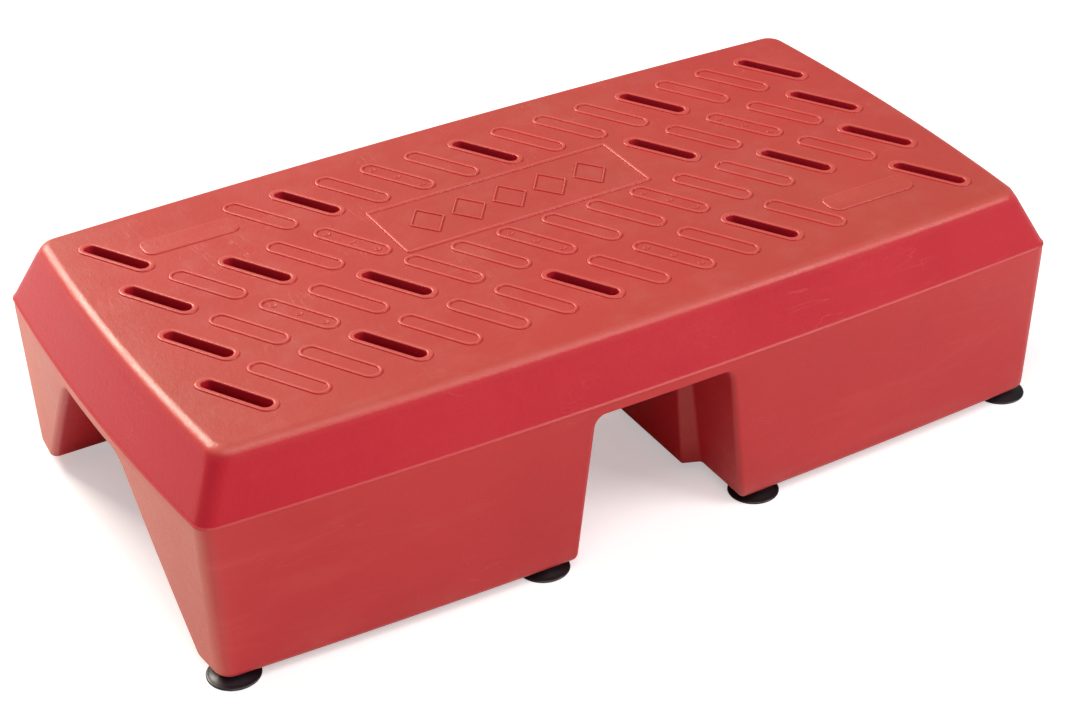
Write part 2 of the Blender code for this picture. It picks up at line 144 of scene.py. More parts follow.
# Arc of a radius tangent to both sides of a corner, one arc per row of the three corner arrays
def roundCorner(before, here, after, radius, steps):
    u = before - here
    v = after - here
    u = u / np.linalg.norm(u, axis=-1, keepdims=True)
    v = v / np.linalg.norm(v, axis=-1, keepdims=True)
    half = np.arccos(np.clip((u * v).sum(-1), -1, 1)) / 2
    middle = (u + v) / np.linalg.norm(u + v, axis=-1, keepdims=True)
    centre = here + middle * (radius / np.sin(half))[..., None]
    reach = (radius / np.tan(half))[..., None]
    first = here + u * reach - centre
    last = here + v * reach - centre
    start = np.arctan2(first[..., 1], first[..., 0])
    sweep = (np.arctan2(last[..., 1], last[..., 0]) - start + math.pi) % (2 * math.pi) - math.pi
    angle = start[..., None] + sweep[..., None] * np.linspace(0, 1, steps + 1)
    spread = np.stack([np.cos(angle), np.sin(angle)], -1) * radius[..., None, None]
    return centre[..., None, :] + spread


# Plan outline with bowed sides: half width less bow times the square of the share of the half length,
# the same for the ends, joined by round corners. Every size is an array, one entry per level
def rimLoop(halfX, halfY, sideBow, endBow, radius, sidePoints=22, endPoints=14, cornerSteps=12):
    halfX, halfY, sideBow, endBow, radius = np.broadcast_arrays(
        *[np.atleast_1d(np.asarray(v, float)) for v in (halfX, halfY, sideBow, endBow, radius)])
    cornerX = halfX - endBow
    cornerY = halfY - sideBow * (cornerX / halfX) ** 2
    cornerX = halfX - endBow * (cornerY / halfY) ** 2
    along = np.linspace(0, 0.955, sidePoints)
    sideX = cornerX[:, None] * along
    side = np.stack([sideX, halfY[:, None] - sideBow[:, None] * (sideX / halfX[:, None]) ** 2], -1)
    across = np.linspace(0.91, 0, endPoints)
    endY = cornerY[:, None] * across
    end = np.stack([halfX[:, None] - endBow[:, None] * (endY / halfY[:, None]) ** 2, endY], -1)
    corner = np.stack([cornerX, cornerY], -1)
    arc = roundCorner(side[:, -1], corner, end[:, 0], np.maximum(radius, leastRadius), cornerSteps)
    quarter = np.concatenate([side, arc, end], 1)
    flipY = quarter[:, ::-1][:, 1:] * [1, -1]
    half = np.concatenate([quarter, flipY], 1)
    return np.concatenate([half, (half[:, ::-1] * [-1, 1])[:, 1:-1]], 1)


# Gives every plan loop its own height
def lift(loops, heights):
    heights = np.broadcast_to(np.asarray(heights, float)[:, None], loops.shape[:2])
    return np.concatenate([loops, heights[..., None]], -1)


# Where the skirt's outline is, given heights over the seam and how far in from the outer face
def skirtLoop(height, inset):
    height = np.asarray(height, float)
    inset = np.asarray(inset, float)
    share = height / block["skirt"]
    return rimLoop(
        block["rimX"] - block["flareX"] * share - inset,
        block["rimY"] - block["flareY"] * share - inset,
        mix(block["sideBow"], block["deckSideBow"], share),
        mix(block["endBow"], block["deckEndBow"], share),
        block["corner"] - inset,
    )


# Materials. Every group puts out masks, colours or heights only
def newGroup(name, inputs, outputs):
    tree = bpy.data.node_groups.new(name, "ShaderNodeTree")
    for label, kind, value in inputs:
        socket = tree.interface.new_socket(name=label, in_out="INPUT", socket_type=kind)
        socket.default_value = value
    for label, kind in outputs:
        tree.interface.new_socket(name=label, in_out="OUTPUT", socket_type=kind)
    return tree, tree.nodes.new("NodeGroupInput"), tree.nodes.new("NodeGroupOutput")


# A node with its settings; names that start with in_ are values of its inputs
def addNode(tree, kind, links=(), **settings):
    node = tree.nodes.new(kind)
    for key, value in settings.items():
        if key.startswith("in_"):
            slot = key[3:].replace("_", " ")
            node.inputs[int(slot) if slot.isdigit() else slot].default_value = value
        else:
            setattr(node, key, value)
    for slot, source in dict(links).items():
        tree.links.new(source, node.inputs[slot])
    return node


# One math node on numbers or links
def math2(tree, operation, a, b=None, clamp=False):
    node = tree.nodes.new("ShaderNodeMath")
    node.operation = operation
    node.use_clamp = clamp
    for index, value in enumerate((a, b)):
        if value is None:
            continue
        if isinstance(value, (int, float)):
            node.inputs[index].default_value = value
        else:
            tree.links.new(value, node.inputs[index])
    return node.outputs[0]


# Carries a value from low to high over to toLow to toHigh, eased at both ends unless told otherwise
def remap(tree, value, low, high, toLow=0.0, toHigh=1.0, smooth=True):
    node = tree.nodes.new("ShaderNodeMapRange")
    node.interpolation_type = "SMOOTHSTEP" if smooth else "LINEAR"
    tree.links.new(value, node.inputs["Value"])
    for label, number in (("From Min", low), ("From Max", high), ("To Min", toLow), ("To Max", toHigh)):
        if isinstance(number, (int, float)):
            node.inputs[label].default_value = number
        else:
            tree.links.new(number, node.inputs[label])
    return node.outputs["Result"]


# Colour a, going over to colour b as the factor rises
def blendColour(tree, factor, a, b):
    node = tree.nodes.new("ShaderNodeMix")
    node.data_type = "RGBA"
    for index, value in ((0, factor), (6, a), (7, b)):
        if isinstance(value, (int, float)):
            node.inputs[index].default_value = value
        elif isinstance(value, tuple):
            node.inputs[index].default_value = (*value, 1.0)
        else:
            tree.links.new(value, node.inputs[index])
    return node.outputs[2]


def noise(tree, place, scale, detail=2.0, roughness=0.5, distortion=0.0):
    node = addNode(tree, "ShaderNodeTexNoise", {"Vector": place},
                   in_Scale=scale, in_Detail=detail, in_Roughness=roughness, in_Distortion=distortion)
    return node.outputs["Fac"]


# Moulded grain: fine spark-eroded grain over a soft orange peel and a slow cloud; grain and peel go to
# a height, and together they give a mask for roughness
def mouldGrainGroup():
    tree, source, sink = newGroup("mouldGrain", [
        ("Grain Size", "NodeSocketFloat", 900.0),
        ("Peel Size", "NodeSocketFloat", 140.0),
        ("Grain", "NodeSocketFloat", 0.5),
        ("Peel", "NodeSocketFloat", 0.5),
    ], [("Height", "NodeSocketFloat"), ("Gloss Mask", "NodeSocketFloat"), ("Cloud", "NodeSocketFloat")])
    place = addNode(tree, "ShaderNodeTexCoord").outputs["Object"]
    grainNode = addNode(tree, "ShaderNodeTexNoise", {"Vector": place, "Scale": source.outputs["Grain Size"]},
                        in_Detail=3.0, in_Roughness=0.6)
    peelNode = addNode(tree, "ShaderNodeTexNoise", {"Vector": place, "Scale": source.outputs["Peel Size"]},
                       in_Detail=1.5, in_Roughness=0.45)
    grain = math2(tree, "MULTIPLY", grainNode.outputs["Fac"], source.outputs["Grain"])
    peel = math2(tree, "MULTIPLY", peelNode.outputs["Fac"], source.outputs["Peel"])
    cloud = noise(tree, place, 9.0, 4.0, 0.55, 0.4)
    tree.links.new(math2(tree, "ADD", grain, peel), sink.inputs["Height"])
    mask = math2(tree, "ADD", math2(tree, "MULTIPLY", grainNode.outputs["Fac"], 0.6),
                 math2(tree, "MULTIPLY", cloud, 0.4))
    tree.links.new(mask, sink.inputs["Gloss Mask"])
    tree.links.new(cloud, sink.inputs["Cloud"])
    return tree


# Scuffs: thin broken lines where a stretched noise crosses its middle value, in two directions
def scuffGroup():
    tree, source, sink = newGroup("scuffs", [
        ("Amount", "NodeSocketFloat", 0.5),
        ("Spread", "NodeSocketFloat", 26.0),
    ], [("Mask", "NodeSocketFloat"), ("Smear", "NodeSocketFloat")])
    place = addNode(tree, "ShaderNodeTexCoord").outputs["Object"]
    lines = []
    for turn, stretch in (((0.3, 0.2, 0.5), (1.0, 9.0, 6.0)), ((0.1, 0.6, -0.9), (8.0, 1.2, 7.0))):
        mapped = addNode(tree, "ShaderNodeMapping", {"Vector": place}, in_Rotation=turn, in_Scale=stretch)
        value = addNode(tree, "ShaderNodeTexNoise",
                        {"Vector": mapped.outputs["Vector"], "Scale": source.outputs["Spread"]},
                        in_Detail=2.0, in_Distortion=0.6).outputs["Fac"]
        away = math2(tree, "ABSOLUTE", math2(tree, "SUBTRACT", value, 0.5))
        line = remap(tree, away, 0.0, 0.006, 1.0, 0.0)
        patch = remap(tree, noise(tree, place, 17.0 + 5 * len(lines), 1.0), 0.56, 0.70)
        lines.append(math2(tree, "MULTIPLY", line, patch))
    both = math2(tree, "MAXIMUM", lines[0], lines[1])
    tree.links.new(math2(tree, "MULTIPLY", both, source.outputs["Amount"]), sink.inputs["Mask"])
    smearPlace = addNode(tree, "ShaderNodeMapping", {"Vector": place}, in_Scale=(3.0, 3.0, 16.0),
                         in_Rotation=(0.15, 0.1, 0.0))
    smear = noise(tree, smearPlace.outputs["Vector"], 2.2, 5.0, 0.62, 1.1)
    tree.links.new(remap(tree, smear, 0.50, 0.78), sink.inputs["Smear"])
    return tree


# Dust that settles on faces looking up and in low places near the floor
def dustGroup():
    tree, source, sink = newGroup("settledDust", [
        ("Top", "NodeSocketFloat", 0.5),
        ("Floor Height", "NodeSocketFloat", 0.02),
    ], [("Mask", "NodeSocketFloat")])
    place = addNode(tree, "ShaderNodeTexCoord").outputs["Object"]
    normal = addNode(tree, "ShaderNodeNewGeometry").outputs["Normal"]
    up = addNode(tree, "ShaderNodeSeparateXYZ", {"Vector": normal}).outputs["Z"]
    height = addNode(tree, "ShaderNodeSeparateXYZ", {"Vector": place}).outputs["Z"]
    patches = remap(tree, noise(tree, place, 31.0, 5.0, 0.65), 0.42, 0.72)
    top = math2(tree, "MULTIPLY", remap(tree, up, 0.55, 1.0), source.outputs["Top"])
    low = remap(tree, height, 0.0, source.outputs["Floor Height"], 0.7, 0.0)
    mask = math2(tree, "MULTIPLY", math2(tree, "MAXIMUM", top, low), patches)
    tree.links.new(mask, sink.inputs["Mask"])
    return tree


# Painted top light: a paler orange painted on faces that look up, standing in for light from above, broken by
# a slow cloud
def paintedTopLightGroup():
    tree, source, sink = newGroup("sunFade", [("Amount", "NodeSocketFloat", 0.5)],
                                  [("Mask", "NodeSocketFloat")])
    place = addNode(tree, "ShaderNodeTexCoord").outputs["Object"]
    normal = addNode(tree, "ShaderNodeNewGeometry").outputs["Normal"]
    up = remap(tree, addNode(tree, "ShaderNodeSeparateXYZ", {"Vector": normal}).outputs["Z"], 0.60, 0.99)
    cloud = remap(tree, noise(tree, place, 4.5, 3.0, 0.55), 0.25, 0.75, 0.70, 1.0)
    mask = math2(tree, "MULTIPLY", math2(tree, "MULTIPLY", up, cloud), source.outputs["Amount"])
    tree.links.new(mask, sink.inputs["Mask"])
    return tree


# Painted end sheen: a pale peach painted on faces that look along X and stand far out along X, standing in
# for a sheen of reflected light, broken by a cloud
def paintedEndSheenGroup():
    tree, source, sink = newGroup("wornEnds", [("Amount", "NodeSocketFloat", 0.5)],
                                  [("Mask", "NodeSocketFloat")])
    place = addNode(tree, "ShaderNodeTexCoord").outputs["Object"]
    normal = addNode(tree, "ShaderNodeNewGeometry").outputs["Normal"]
    facing = addNode(tree, "ShaderNodeSeparateXYZ", {"Vector": normal}).outputs["X"]
    across = addNode(tree, "ShaderNodeSeparateXYZ", {"Vector": place}).outputs["X"]
    endOn = remap(tree, math2(tree, "ABSOLUTE", facing), 0.55, 0.95)
    outward = remap(tree, math2(tree, "ABSOLUTE", across), 0.26, 0.31)
    cloud = remap(tree, noise(tree, place, 9.0, 3.0), 0.30, 0.70, 0.55, 1.0)
    mask = math2(tree, "MULTIPLY", math2(tree, "MULTIPLY", endOn, outward), cloud)
    tree.links.new(math2(tree, "MULTIPLY", mask, source.outputs["Amount"]), sink.inputs["Mask"])
    return tree


mouldGrain = mouldGrainGroup()
# painted top light: a paler colour painted on faces that look up
sunFade = paintedTopLightGroup()
# painted end sheen: a pale peach painted on the end faces of the legs
wornEnds = paintedEndSheenGroup()
scuffs = scuffGroup()
settledDust = dustGroup()


# Places a group in a material with its own values
def useGroup(tree, group, **values):
    node = tree.nodes.new("ShaderNodeGroup")
    node.node_tree = group
    for label, value in values.items():
        node.inputs[label.replace("_", " ")].default_value = value
    return node


# Red polyethylene: two reds blended by the cloud, with painted top light (paler where it looks up) and a
# painted sheen (pale peach on end faces); paler on rubbed edges and in smears, darker and redder in the
# grain's speckle; bump from grain and scuffs
def redPlastic(name, look):
    material = bpy.data.materials.new(name)
    material.use_nodes = True
    tree = material.node_tree
    shader = tree.nodes["Principled BSDF"]
    grain = useGroup(tree, mouldGrain, Grain_Size=look["grainSize"], Peel_Size=look["peelSize"],
                     Grain=look["grain"], Peel=look["peel"])
    marks = useGroup(tree, scuffs, Amount=look["scuffs"], Spread=look["scuffSpread"])
    dust = useGroup(tree, settledDust, Top=look["dust"], Floor_Height=0.03)
    rubbed = addNode(tree, "ShaderNodeAttribute", attribute_name="rubbed").outputs["Fac"]
    cloud = remap(tree, grain.outputs["Cloud"], 0.3, 0.7)
    colour = blendColour(tree, cloud, look["deep"], look["light"])
    # painted top light: a paler orange painted on faces that look up, standing in for light from above
    fade = useGroup(tree, sunFade, Amount=look["fade"])
    colour = blendColour(tree, fade.outputs["Mask"], colour, look["fadeColour"])
    # painted sheen: a pale peach painted on end faces far out along X, standing in for reflected light
    ends = useGroup(tree, wornEnds, Amount=look["ends"])
    colour = blendColour(tree, ends.outputs["Mask"], colour, look["endColour"])
    speckle = remap(tree, grain.outputs["Gloss Mask"], 0.38, 0.62)
    speckle = math2(tree, "MULTIPLY", speckle, look["speckle"])
    colour = blendColour(tree, speckle, colour, look["speckleColour"])
    smear = math2(tree, "MULTIPLY", marks.outputs["Smear"], look["smear"])
    colour = blendColour(tree, smear, colour, look["smearColour"])
    edge = math2(tree, "MULTIPLY", rubbed, look["edge"], clamp=True)
    colour = blendColour(tree, edge, colour, look["edgeColour"])
    scratched = math2(tree, "MULTIPLY", marks.outputs["Mask"], 0.7)
    colour = blendColour(tree, scratched, colour, look["edgeColour"])
    dusted = math2(tree, "MULTIPLY", dust.outputs["Mask"], look["dustShow"])
    colour = blendColour(tree, dusted, colour, look["dustColour"])
    tree.links.new(colour, shader.inputs["Base Color"])
    rough = remap(tree, grain.outputs["Gloss Mask"], 0.3, 0.7, look["rough"][0], look["rough"][1])
    rough = math2(tree, "SUBTRACT", rough, math2(tree, "MULTIPLY", rubbed, look["edgeGloss"]))
    rough = math2(tree, "ADD", rough, math2(tree, "MULTIPLY", dust.outputs["Mask"], 0.15), clamp=True)
    tree.links.new(rough, shader.inputs["Roughness"])
    cut = math2(tree, "MULTIPLY", marks.outputs["Mask"], 0.5)
    height = math2(tree, "SUBTRACT", grain.outputs["Height"], cut)
    bump = addNode(tree, "ShaderNodeBump", {"Height": height}, in_Strength=look["bump"], in_Distance=0.0007)
    tree.links.new(bump.outputs["Normal"], shader.inputs["Normal"])
    shader.inputs["IOR"].default_value = look["ior"]
    shader.inputs["Specular Tint"].default_value = (*look["sheenTint"], 1.0)
    shader.inputs["Coat Weight"].default_value = look["coat"]
    shader.inputs["Coat Roughness"].default_value = 0.30
    return material


deckLook = dict(
    deep=(0.500, 0.009, 0.026),
    light=(0.545, 0.013, 0.030),
    # painted top light: how strong, and the paler colour painted on faces that look up
    fade=0.85,
    fadeColour=(0.355, 0.072, 0.048),
    # painted end sheen: none painted on the deck
    ends=0.0,
    endColour=(0.72, 0.170, 0.095),
    speckle=0.22,
    speckleColour=(0.450, 0.006, 0.016),
    smear=0.10,
    smearColour=(0.62, 0.050, 0.045),
    edge=0.42,
    edgeColour=(0.70, 0.130, 0.100),
    edgeGloss=0.02,
    dust=0.25,
    dustShow=0.12,
    dustColour=(0.62, 0.50, 0.44),
    grainSize=950.0,
    peelSize=260.0,
    grain=0.55,
    peel=0.50,
    scuffs=0.35,
    scuffSpread=14.0,
    rough=(0.31, 0.48),
    bump=0.42,
    ior=1.50,
    sheenTint=(1.0, 0.90, 0.78),
    coat=0.0,
)
legLook = dict(
    deckLook,
    deep=(0.500, 0.007, 0.018),
    light=(0.560, 0.011, 0.022),
    speckle=0.16,
    speckleColour=(0.420, 0.005, 0.016),
    smear=0.34,
    smearColour=(0.60, 0.055, 0.055),
    dust=0.0,
    dustShow=0.16,
    peelSize=160.0,
    grain=0.35,
    peel=0.60,
    rough=(0.32, 0.50),
    bump=0.40,
    # painted end sheen: a pale peach painted on the end faces of the legs
    ends=0.80,
    ior=1.65,
    sheenTint=(1.0, 0.80, 0.62),
    coat=0.10,
)
deckRed = redPlastic("deckRedPolyethylene", deckLook)
legRed = redPlastic("legRedPolyethylene", legLook)


# Black rubber: near black, a bluish bloom in patches, fine dust near the floor, soft gloss
def blackRubber():
    material = bpy.data.materials.new("cupBlackRubber")
    material.use_nodes = True
    tree = material.node_tree
    shader = tree.nodes["Principled BSDF"]
    grain = useGroup(tree, mouldGrain, Grain_Size=2600.0, Peel_Size=420.0, Grain=0.4, Peel=0.4)
    dust = useGroup(tree, settledDust, Top=0.3, Floor_Height=0.004)
    bloom = remap(tree, grain.outputs["Cloud"], 0.35, 0.7)
    colour = blendColour(tree, bloom, (0.0065, 0.0065, 0.0085), (0.013, 0.014, 0.022))
    dusted = math2(tree, "MULTIPLY", dust.outputs["Mask"], 0.10)
    colour = blendColour(tree, dusted, colour, (0.20, 0.18, 0.17))
    tree.links.new(colour, shader.inputs["Base Color"])
    tree.links.new(remap(tree, grain.outputs["Gloss Mask"], 0.3, 0.7, 0.26, 0.44), shader.inputs["Roughness"])
    bump = addNode(tree, "ShaderNodeBump", {"Height": grain.outputs["Height"]}, in_Strength=0.18,
                   in_Distance=0.0002)
    tree.links.new(bump.outputs["Normal"], shader.inputs["Normal"])
    shader.inputs["IOR"].default_value = 1.52
    return material


# Turned metal: fine rings round the stud's own axis, from a wave on the height, over a plain metal colour
def turnedMetal(name, dark, light, rough):
    material = bpy.data.materials.new(name)
    material.use_nodes = True
    tree = material.node_tree
    shader = tree.nodes["Principled BSDF"]
    grain = useGroup(tree, mouldGrain, Grain_Size=3200.0, Peel_Size=600.0, Grain=0.6, Peel=0.2)
    place = addNode(tree, "ShaderNodeTexCoord").outputs["Object"]
    rings = addNode(tree, "ShaderNodeTexWave", {"Vector": place}, bands_direction="Z",
                    in_Scale=420.0, in_Distortion=1.5, in_Detail=2.0)
    tone = math2(tree, "ADD", math2(tree, "MULTIPLY", rings.outputs["Fac"], 0.5),
                 math2(tree, "MULTIPLY", grain.outputs["Gloss Mask"], 0.5))
    tree.links.new(blendColour(tree, tone, dark, light), shader.inputs["Base Color"])
    tree.links.new(remap(tree, tone, 0.2, 0.8, rough - 0.08, rough + 0.10), shader.inputs["Roughness"])
    bump = addNode(tree, "ShaderNodeBump", {"Height": tone}, in_Strength=0.25, in_Distance=0.0001)
    tree.links.new(bump.outputs["Normal"], shader.inputs["Normal"])
    shader.inputs["Metallic"].default_value = 1.0
    return material


cupRubber = blackRubber()
studSteel = turnedMetal("studTurnedSteel", (0.42, 0.43, 0.45), (0.66, 0.67, 0.68), 0.30)
insertBrass = turnedMetal("insertTurnedBrass", (0.50, 0.34, 0.12), (0.74, 0.56, 0.26), 0.34)
for name in footNames:
    for part, finish in (("foot_stud_", studSteel), ("threaded_insert_", insertBrass)):
        for slot in nodes[part + name].material_slots:
            slot.material = finish
print("materials made")

# Upper moulding. Its tread is a lattice of slanted rings and slots round a blank plate
tread = dict(
    pitchX=0.0365,
    pitchY=0.0673,
    middleShift=0.0029,
    slant=math.radians(-60.7),
    rows=((1.5, 0.0, "o--coccc" + "occcocco"),
          (0.5, 1.0, "ococc---" + "---occco"),
          (-0.5, 1.0, "occcoccc" + "cccccoco"),
          (-1.5, 0.0, "occoccco" + "cccoc--o")),
    pipped=((1.5, 6), (0.5, 4), (0.5, 13), (-0.5, 2), (-0.5, 7), (-0.5, 10), (-1.5, 9)),
    rowGap=0.00976,
    ringRadius=0.0081,
    ringWidth=0.0029,
    slotRadius=0.0048,
    slotEnd=0.0010,
    sleeveWall=0.0020,
    sink=0.0006,
    pipRadius=0.0025,
    pipHeight=0.0004,
)
ringReach = (tread["pitchY"] - tread["rowGap"]) / 2 - tread["ringRadius"]
tread["ringHalf"] = ringReach / abs(math.sin(tread["slant"]))  # half of a ring's straight side
tread["slotHalf"] = tread["ringHalf"] - tread["slotEnd"]


# Column times its pitch, counted from the middle and shifted in the middle rows, and row times its pitch
def treadPlace(row, shifted, column):
    x = (column - 7.5) * tread["pitchX"] + shifted * tread["middleShift"]
    return x, row * tread["pitchY"]


slotPlaces = []
ringPlaces = []
for row, shifted, letters in tread["rows"]:
    for column, letter in enumerate(letters):
        if letter in "oc":
            (slotPlaces if letter == "o" else ringPlaces).append(treadPlace(row, shifted, column))
slotPlaces = np.array(slotPlaces)
ringPlaces = np.array(ringPlaces)


# A profile carried round slanted stadiums: radius r from the middle line, whose half length goes from
# halfIn to halfOut with r, and height z. Places x path x profile corners come back
def carryRound(places, r, z, halfStraight, steps=16):
    turn = np.linspace(-math.pi / 2, math.pi / 2, steps + 1)
    end = np.repeat([1.0, -1.0], steps + 1)[:, None]
    turn = np.tile(turn, 2)[:, None]
    along = end * (halfStraight + r * np.cos(turn))
    across = end * r * np.sin(turn)
    c, s = math.cos(tread["slant"]), math.sin(tread["slant"])
    x = along * c - across * s
    y = along * s + across * c
    sheet = np.stack([x, y, np.broadcast_to(z, x.shape)], -1)
    shift = np.concatenate([places, np.zeros((len(places), 1))], 1)
    return sheet[None] + shift[:, None, None, :]


deckSurface = Surface()
edge = dict(radius=0.0090, turn=math.radians(65.0), steps=12, below=0.0085, firstLevel=0.0040, levels=9)
edgeTangent = edge["radius"] * math.tan(edge["turn"] / 2)
deckHalfX = block["rimX"] - block["flareX"]
deckHalfY = block["rimY"] - block["flareY"]
# the flash at the seam is a small half-round bead, then the skirt runs straight up
flash = np.array([(0.0, 0.00030), (0.0003, 0.00048), (0.0007, 0.00050), (0.0011, 0.00042), (0.0014, 0.00022),
                  (0.0017, 0.00005), (0.0021, 0.0)])
skirtLevels = np.linspace(edge["firstLevel"], block["skirt"] - edge["below"], edge["levels"])
skirtHeights = np.concatenate([flash[:, 0] + gap / 2, skirtLevels])
skirtInsets = np.concatenate([-flash[:, 1], np.zeros(edge["levels"])])
lowerLoops = lift(skirtLoop(skirtHeights, skirtInsets), block["seam"] + skirtHeights)
angles = np.linspace(edge["turn"], 0, edge["steps"] + 1)
outward = edge["radius"] * np.sin(angles) - edgeTangent
edgeLoops = lift(
    rimLoop(deckHalfX + outward, deckHalfY + outward, block["deckSideBow"], block["deckEndBow"],
            block["corner"] + outward),
    block["deck"] - edge["radius"] * (1 - np.cos(angles)),
)
outerLoops = np.concatenate([lowerLoops, edgeLoops])
flashRub = np.exp(-((flash[:, 0] - 0.0006) / 0.0006) ** 2) * 0.9
roundRub = np.sin(np.linspace(0.15, 1, edge["steps"] + 1) * math.pi) ** 2
edgeRub = np.concatenate([flashRub, np.zeros(edge["levels"]), roundRub])
count = outerLoops.shape[1]
deckSurface.add(outerLoops, gridFaces(len(outerLoops), count, wrapColumns=True), np.repeat(edgeRub, count))
deckSurface.add(outerLoops[-1], [list(range(count))])
lipWall = 0.0019
lipHeight = 0.0060
innerTop = block["skirt"] - block["wall"] - 0.004
innerHeights = np.array([gap / 2, lipHeight + gap, lipHeight + gap, 0.020, innerTop])
innerInsets = np.array([lipWall, lipWall, block["wall"], block["wall"], block["wall"]])
innerLoops = lift(skirtLoop(innerHeights, innerInsets), block["seam"] + innerHeights)
ceilingInset = edgeTangent + 0.0015
ceilingLoop = lift(
    rimLoop(deckHalfX - ceilingInset, deckHalfY - ceilingInset, block["deckSideBow"], block["deckEndBow"],
            block["corner"] - block["wall"]),
    [block["deck"] - block["wall"]],
)
innerLoops = np.concatenate([innerLoops, ceilingLoop])
deckSurface.add(innerLoops, gridFaces(len(innerLoops), count, wrapColumns=True))
deckSurface.add(innerLoops[-1], [list(range(count))])
deckSurface.add(np.stack([outerLoops[0], innerLoops[0]]), gridFaces(2, count, wrapColumns=True))
deckMould = deckSurface.piece("deckMould", deckRed)


# Cuts the tool out of the target for good and drops the tool
def cutWith(target, tool):
    modifier = target.modifiers.new("holes", "BOOLEAN")
    modifier.operation = "DIFFERENCE"
    modifier.solver = "EXACT"
    modifier.object = tool
    graph = bpy.context.evaluated_depsgraph_get()
    finished = bpy.data.meshes.new_from_object(target.evaluated_get(graph))
    target.modifiers.clear()
    target.data = finished
    finished.set_sharp_from_angle(angle=math.radians(sharpAngle))
    bpy.data.objects.remove(tool, do_unlink=True)


# Takes the tool's faces into the target's mesh and drops the tool
def addInto(target, tool):
    work = bmesh.new()
    work.from_mesh(target.data)
    work.from_mesh(tool.data)
    work.to_mesh(target.data)
    work.free()
    bpy.data.objects.remove(tool, do_unlink=True)


# The holes through the deck plate are a little wider than the slots, inside the sleeves' thickness
holeSurface = Surface()
holeRadius = tread["slotRadius"] + tread["sleeveWall"] * 0.5
holeEnds = np.array([-0.012, 0.004]) + block["deck"]
hole = carryRound(slotPlaces, np.full((1, 2), holeRadius), holeEnds, tread["slotHalf"], 8)
around = hole.shape[1]
wallFaces = gridFaces(around, 2, wrapRows=True)
holeSurface.addMany(hole.reshape(len(slotPlaces), -1, 3), wallFaces)
for index in range(len(slotPlaces)):
    for level in (0, 1):
        holeSurface.add(hole[index, :, level], [list(range(around))])
cutWith(deckMould, holeSurface.piece("holeCutter", None))

# Slot collars: up over the round shoulder, down the sleeve inside the slot and back up outside it
collarR = np.array([0.0084, 0.0081, 0.0079, 0.0075, 0.0070, 0.0062, 0.0056, 0.0051, 0.00485, 0.0048,
                    0.0048, 0.0048, 0.0051, 0.0063, 0.0068, 0.0068, 0.0068])
collarZ = np.array([-0.0006, 0.0002, 0.0007, 0.00096, 0.0010, 0.0010, 0.00096, 0.00075, 0.0004, -0.0002,
                    -0.0030, -0.0136, -0.0140, -0.0140, -0.0136, -0.0060, -0.0035])
collarRub = np.array([0, 0.2, 0.9, 1, 0.5, 0.5, 0.9, 1.0, 0.6, 0.1, 0, 0, 0, 0, 0, 0, 0])
half = mix(tread["slotHalf"], tread["ringHalf"],
           (collarR - tread["slotRadius"]) / (tread["ringRadius"] - tread["slotRadius"]))
collars = carryRound(slotPlaces, collarR[None], collarZ + block["deck"], half[None], 14)
collarSurface = Surface()
path = collars.shape[1]
collarSurface.addMany(collars.reshape(len(slotPlaces), -1, 3),
                      gridFaces(path, len(collarR), wrapRows=True, wrapColumns=True),
                      np.tile(collarRub, path)[None])
slotCollars = collarSurface.piece("slotCollars", deckRed, 50.0)


# A raised rib: height times (1 less the share from the middle to the power 3.2) to the power 0.6, with feet
# sunk a little into the deck
def ribProfile(width, height, points=9):
    share = np.linspace(-1, 1, points)
    r = share * width / 2
    z = height * (1 - np.abs(share) ** 3.2) ** 0.6
    r = np.concatenate([[-width / 2 - 0.0002], r, [width / 2 + 0.0002]])
    z = np.concatenate([[-tread["sink"]], z, [-tread["sink"]]])
    z[1] = z[-2] = height * 0.12
    rub = np.concatenate([[0.0], (1 - np.abs(share)) ** 0.5, [0.0]])
    return r, z, rub


ringSurface = Surface()
r, z, rub = ribProfile(tread["ringWidth"], ringHeight)
rings = carryRound(ringPlaces, r[None] + tread["ringRadius"] - tread["ringWidth"] / 2, z + block["deck"],
                   tread["ringHalf"], 12)
path = rings.shape[1]
ringSurface.addMany(rings.reshape(len(ringPlaces), -1, 3),
                    gridFaces(path, len(r), wrapRows=True, wrapColumns=True), np.tile(rub, path)[None])


# A profile turned about the upright axis through a place, radius and height in pairs
def turnProfile(profile, place, steps=64):
    profile = np.asarray(profile, float)
    angle = np.linspace(0, 2 * math.pi, steps, endpoint=False)
    x = profile[:, :1] * np.cos(angle) + place[0]
    y = profile[:, :1] * np.sin(angle) + place[1]
    return np.stack([x, y, np.broadcast_to(profile[:, 1:], x.shape)], -1)


# Pips: low round studs with a soft dome and a dimple, three to a ring, in seven of the rings
rowShift = {row: shifted for row, shifted, _ in tread["rows"]}
pipPlaces = []
for row, column in tread["pipped"]:
    x, y = treadPlace(row, rowShift[row], column)
    for share in (-0.9, 0.0, 0.9):
        reach = share * tread["ringHalf"]
        pipPlaces.append((x + reach * math.cos(tread["slant"]), y + reach * math.sin(tread["slant"])))
pipPlaces = np.array(pipPlaces)
pipR = np.array([0.0, 0.35, 0.6, 0.78, 0.9, 0.98, 1.0]) * tread["pipRadius"]
pipZ = np.array([0.35, 0.35, 0.5, 0.95, 1.0, 0.6, -0.6]) * tread["pipHeight"]
pipRub = np.array([0, 0, 0.1, 0.3, 0.4, 0.2, 0])
pipSteps = 24
pip = turnProfile(np.stack([pipR, pipZ + block["deck"]], -1), (0.0, 0.0), pipSteps)
shifts = np.concatenate([pipPlaces, np.zeros((len(pipPlaces), 1))], 1)
ringSurface.addMany(pip.reshape(1, -1, 3) + shifts[:, None, :],
                    gridFaces(len(pip), pipSteps, wrapColumns=True), np.repeat(pipRub, pipSteps)[None])
for shift in shifts:
    ringSurface.add(pip[-1] + shift, [list(range(pipSteps))])
treadRings = ringSurface.piece("treadRings", deckRed, 60.0)


